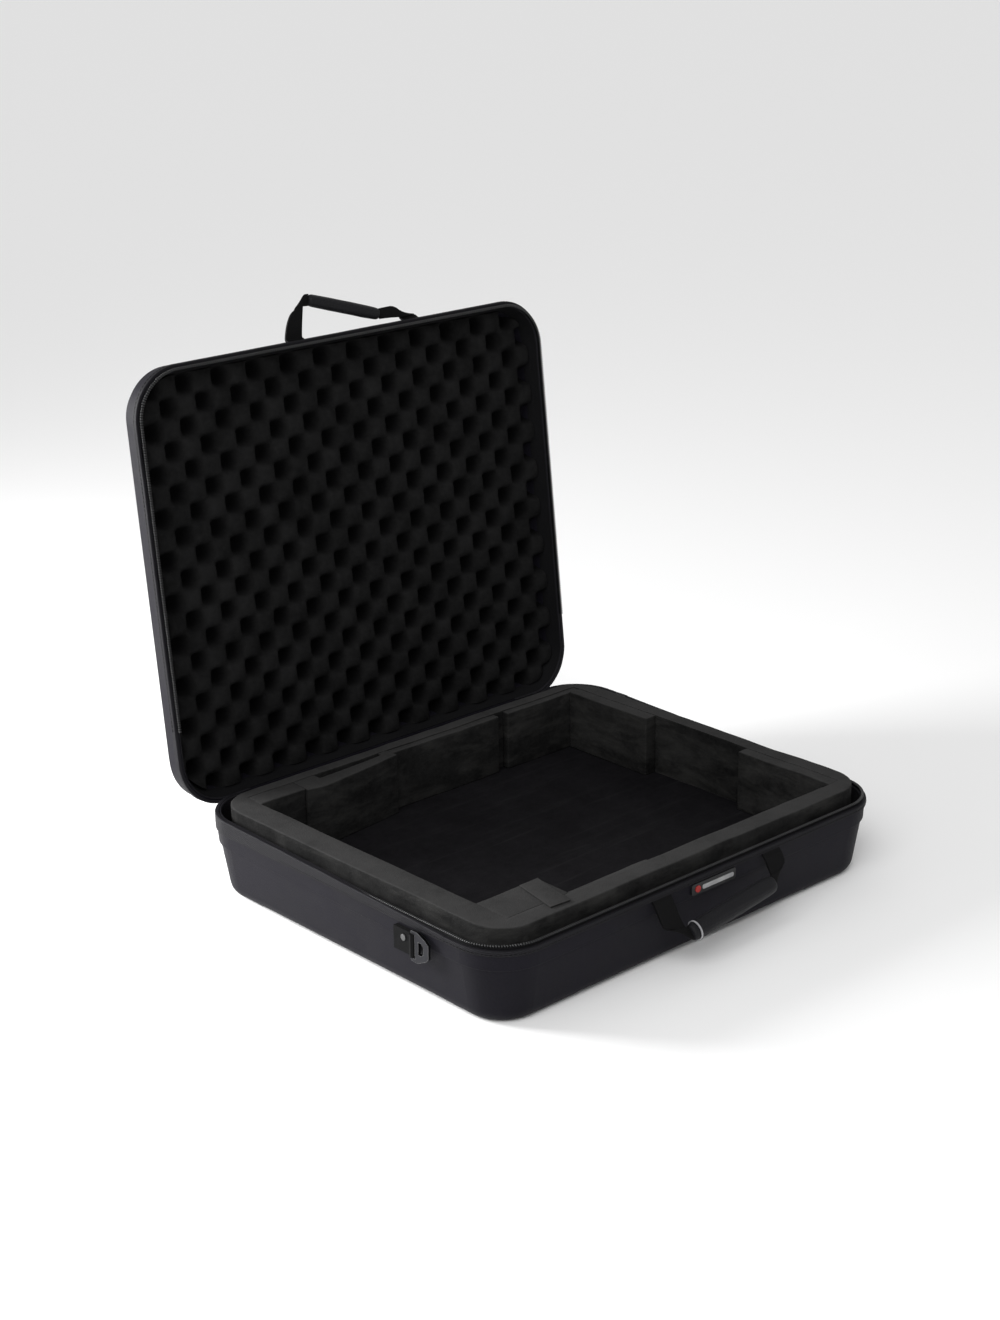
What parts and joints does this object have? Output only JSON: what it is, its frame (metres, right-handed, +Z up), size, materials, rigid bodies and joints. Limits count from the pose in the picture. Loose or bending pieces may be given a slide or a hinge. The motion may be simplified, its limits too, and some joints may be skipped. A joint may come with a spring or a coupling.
{
  "type": "zipped carry case with foam insert",
  "caption": "Zipped moulded carry case with a hinged lid lined with egg-crate foam, a foam walled base, a webbing carry handle on base and lid, and strap rings",
  "frame": {"origin": "middle of the flat the base rests on, under the centre of the base tray", "axes": "+X along the lid hinge, +Y from the carry handle side to the hinge side, +Z up; the lid is drawn open as stored"},
  "size_m": [0.5764, 0.6081, 0.5888],
  "materials": {
    "shell_skin": "satin fabric laminate on moulded EVA",
    "binding": "woven edge binding",
    "zip_tape": "woven zip tape",
    "zip_coil": "nylon coil",
    "hinge_fabric": "woven band",
    "eva_foam": "closed-cell foam, cut faces",
    "floor_foam": "smooth foam sheet",
    "egg_foam": "open-cell convoluted foam",
    "lining_board": "thin lining",
    "webbing": "woven webbing",
    "grip_skin": "padded sleeve",
    "grip_trim": "light edge ring",
    "badge_dark": "flexible plate",
    "badge_light": "plain raised bar",
    "badge_red": "plain raised dot",
    "ring_metal": "gunmetal plating",
    "rivet_metal": "bright rivet head",
    "zip_metal": "black enamel"
  },
  "bodies": {
    "base": {"base_shell": "shell_skin", "base_binding": "binding", "base_zip_tape": "zip_tape", "base_zip_teeth": "zip_coil", "zip_end_tabs": "zip_tape", "hinge_band_base": "hinge_fabric", "floor_panel": "floor_foam", "foam_frame": "eva_foam", "rear_corner_block": "eva_foam", "rear_spacer": "eva_foam", "rear_board_left": "eva_foam", "rear_board_right": "eva_foam", "right_pad_rear": "eva_foam", "right_pad_front": "eva_foam", "front_corner_block": "eva_foam", "front_corner_patch": "eva_foam", "front_strip_left": "eva_foam", "front_strip_right": "eva_foam", "base_handle_anchors": "webbing", "badge_plate": "badge_dark", "badge_bar": "badge_light", "badge_dot": "badge_red", "ring_tabs": "webbing", "ring_rivets": "rivet_metal"},
    "lid": {"lid_shell": "shell_skin", "lid_binding": "binding", "lid_zip_tape": "zip_tape", "lid_zip_teeth": "zip_coil", "hinge_band_lid": "hinge_fabric", "lid_foam": "egg_foam", "lid_backing": "lining_board", "lid_handle_anchors": "webbing"},
    "base_handle": {"base_handle_straps": "webbing", "base_handle_grip": "grip_skin", "base_handle_trim": "grip_trim"},
    "lid_handle": {"lid_handle_straps": "webbing", "lid_handle_grip": "grip_skin"},
    "ring_l": {"ring_left": "ring_metal"},
    "ring_r": {"ring_right": "ring_metal"},
    "slider": {"zip_slider": "zip_metal"},
    "pull": {"zip_pull": "zip_metal"}
  },
  "joints": [
    {"name": "lid_hinge", "type": "hinge", "parent": "base", "child": "lid", "pos_m": [0, 0.2366, 0.078], "axis": [-1, 0, 0], "range_deg": [-96, 0]},
    {"name": "base_handle_hinge", "type": "hinge", "parent": "base", "child": "base_handle", "pos_m": [0, -0.2376, 0.072], "axis": [-1, 0, 0], "range_deg": [-30, 110]},
    {"name": "lid_handle_hinge", "type": "hinge", "parent": "lid", "child": "lid_handle", "pos_m": [0, 0.31202, 0.54688], "axis": [1, 0, 0], "range_deg": [-55, 55]},
    {"name": "ring_left_hinge", "type": "hinge", "parent": "base", "child": "ring_l", "pos_m": [-0.2845, -0.12, 0.061], "axis": [0, 0, -1], "range_deg": [0, 150]},
    {"name": "ring_right_hinge", "type": "hinge", "parent": "base", "child": "ring_r", "pos_m": [0.2845, -0.12, 0.061], "axis": [0, 0, 1], "range_deg": [0, 150]},
    {"name": "zip_slide", "type": "slide", "parent": "base", "child": "slider", "axis": [0, -1, 0], "range_m": [0, 0.24]},
    {"name": "pull_hinge", "type": "hinge", "parent": "slider", "child": "pull", "pos_m": [0.2828, 0.158, 0.088], "axis": [0, -1, 0], "range_deg": [0, 150]}
  ]
}
